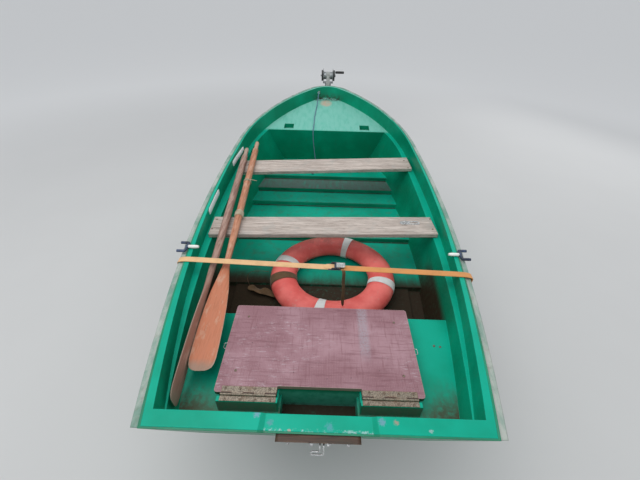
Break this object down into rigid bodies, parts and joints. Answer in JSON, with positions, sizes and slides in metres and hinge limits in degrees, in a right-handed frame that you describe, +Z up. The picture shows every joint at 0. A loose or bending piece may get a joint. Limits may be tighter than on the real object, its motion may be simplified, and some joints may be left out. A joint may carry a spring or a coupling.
{
  "type": "rowing boat",
  "caption": "Open rowing boat with moulded hull and liner, wooden thwarts, hinged stern locker, oars and lifebuoy, strapped on its road trailer.",
  "frame": {"origin": "centre of the footprint on the ground", "axes": "+Z up, +Y to the bow and the coupling, +X to starboard"},
  "size_m": [1.78, 4.3806, 1.32],
  "materials": {
    "hull_green": "weathered moulding, scuffed",
    "liner_green": "weathered moulding, dirty",
    "faded_strake": "faded and chalky",
    "thwart_wood": "bare, greyed by weather",
    "lid_ply": "worn mauve paint on plywood",
    "hinge_steel": "dull",
    "painter_line": "thin blue-grey line",
    "pad_wood": "dark wet wood",
    "bent_rod": "dull",
    "oar_orange": "worn varnish, orange",
    "oar_faded": "faded brown pink",
    "buoy_red": "faded salmon red",
    "buoy_white": "dirty white band",
    "galvanised": "hot-dip galvanised, dull",
    "wheel_rim": "silver paint, rust at the bolts",
    "wheel_hub": "dull",
    "tyre_rubber": "dusty",
    "black_plastic": "faded black",
    "roller_rubber": "scuffed",
    "bunk_carpet": "carpeted timber",
    "winch_drum_steel": "wound with webbing",
    "winch_webbing": "woven",
    "coupling_cast": "grey paint, chipped",
    "rowlock_plastic": "dark blue",
    "rowlock_pin_white": "off-white",
    "strap_tan": "woven, tan orange",
    "buckle_zinc": "dark grey zinc"
  },
  "bodies": {
    "boat_on_trailer": {"hull_shell": "hull_green", "keel": "hull_green", "inner_liner": "liner_green", "rub_strake": "faded_strake", "thwart_middle": "thwart_wood", "thwart_forward": "thwart_wood", "hinge_leaves_fixed": "hinge_steel", "hinge_pins": "hinge_steel", "thwart_fitting": "hinge_steel", "painter_rope": "painter_line", "painter_knot": "painter_line", "motor_pad": "pad_wood", "transom_eye": "bent_rod", "bow_eye": "bent_rod", "oar_inner": "oar_orange", "oar_outer": "oar_faded", "lifebuoy": "buoy_red", "lifebuoy_bands": "buoy_white", "spine_beam": "galvanised", "cross_member_aft": "galvanised", "cross_member_fore": "galvanised", "axle_beam": "galvanised", "axle_arms": "galvanised", "mudguard_brackets": "galvanised", "roller_brackets": "galvanised", "roller_pins": "galvanised", "bunk_posts": "galvanised", "winch_post": "galvanised", "bow_stop_arm": "galvanised", "winch_frame": "galvanised", "winch_crank": "galvanised", "jockey_clamp": "galvanised", "jockey_outer_tube": "galvanised", "jockey_inner_tube": "galvanised", "jockey_handle": "galvanised", "mudguard_port": "black_plastic", "mudguard_starboard": "black_plastic", "winch_cheeks": "black_plastic", "keel_rollers": "roller_rubber", "bow_stop": "roller_rubber", "side_bunks": "bunk_carpet", "winch_drum": "winch_drum_steel", "winch_strap": "winch_webbing", "coupling_head": "coupling_cast", "coupling_lever": "coupling_cast", "rowlock_horns": "rowlock_plastic", "rowlock_pins": "rowlock_pin_white", "tie_strap": "strap_tan", "strap_buckle": "buckle_zinc"},
    "lid": {"locker_lid": "lid_ply", "hinge_leaves_moving": "hinge_steel", "locker_rings": "hinge_steel"},
    "wheel_port": {"wheel_rim_port": "wheel_rim", "wheel_hub_port": "wheel_hub", "tyre_port": "tyre_rubber"},
    "wheel_starboard": {"wheel_rim_starboard": "wheel_rim", "wheel_hub_starboard": "wheel_hub", "tyre_starboard": "tyre_rubber"},
    "jockey_swivel": {"jockey_fork": "galvanised"},
    "jockey_wheel": {"jockey_wheel": "roller_rubber"}
  },
  "joints": [
    {"name": "lid_hinge", "type": "hinge", "parent": "boat_on_trailer", "child": "lid", "pos_m": [0, -2.0012, 0.7955], "axis": [1, 0, 0], "range_deg": [0, 130]},
    {"name": "wheel_port_spin", "type": "hinge", "parent": "boat_on_trailer", "child": "wheel_port", "pos_m": [-0.8, -0.9597, 0.25], "axis": [1, 0, 0], "continuous": true},
    {"name": "wheel_starboard_spin", "type": "hinge", "parent": "boat_on_trailer", "child": "wheel_starboard", "pos_m": [0.8, -0.9597, 0.25], "axis": [1, 0, 0], "continuous": true},
    {"name": "jockey_swivel", "type": "hinge", "parent": "boat_on_trailer", "child": "jockey_swivel", "pos_m": [-0.082, 1.6703, 0.2], "axis": [0, 0, 1], "continuous": true},
    {"name": "jockey_spin", "type": "hinge", "parent": "jockey_swivel", "child": "jockey_wheel", "pos_m": [-0.082, 1.6283, 0.1], "axis": [1, 0, 0], "continuous": true}
  ]
}
